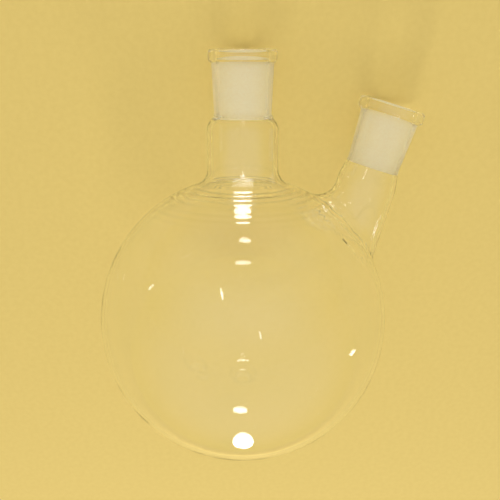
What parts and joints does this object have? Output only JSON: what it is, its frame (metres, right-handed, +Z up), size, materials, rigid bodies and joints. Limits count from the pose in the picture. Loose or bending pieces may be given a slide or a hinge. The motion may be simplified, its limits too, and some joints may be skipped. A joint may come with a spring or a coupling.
{
  "type": "two neck flask",
  "caption": "Clear glass round-bottom flask with an upright main neck and an angled side neck, each ending in a conical ground socket, for heating and mixing liquids",
  "frame": {"origin": "the point of the bulb that touches the bench, straight below the bulb's centre, with the flask lying on its side", "axes": "+Z is up. +X is the level direction that the main neck points in: its axis lies in the XZ plane and dips 25.2 degrees. The side neck is on the -Y side"},
  "size_m": [0.1821, 0.1484, 0.131],
  "materials": {
    "flask": "polished"
  },
  "bodies": {
    "root": {"bulb": "flask", "main_neck": "flask", "side_neck": "flask"}
  },
  "joints": []
}
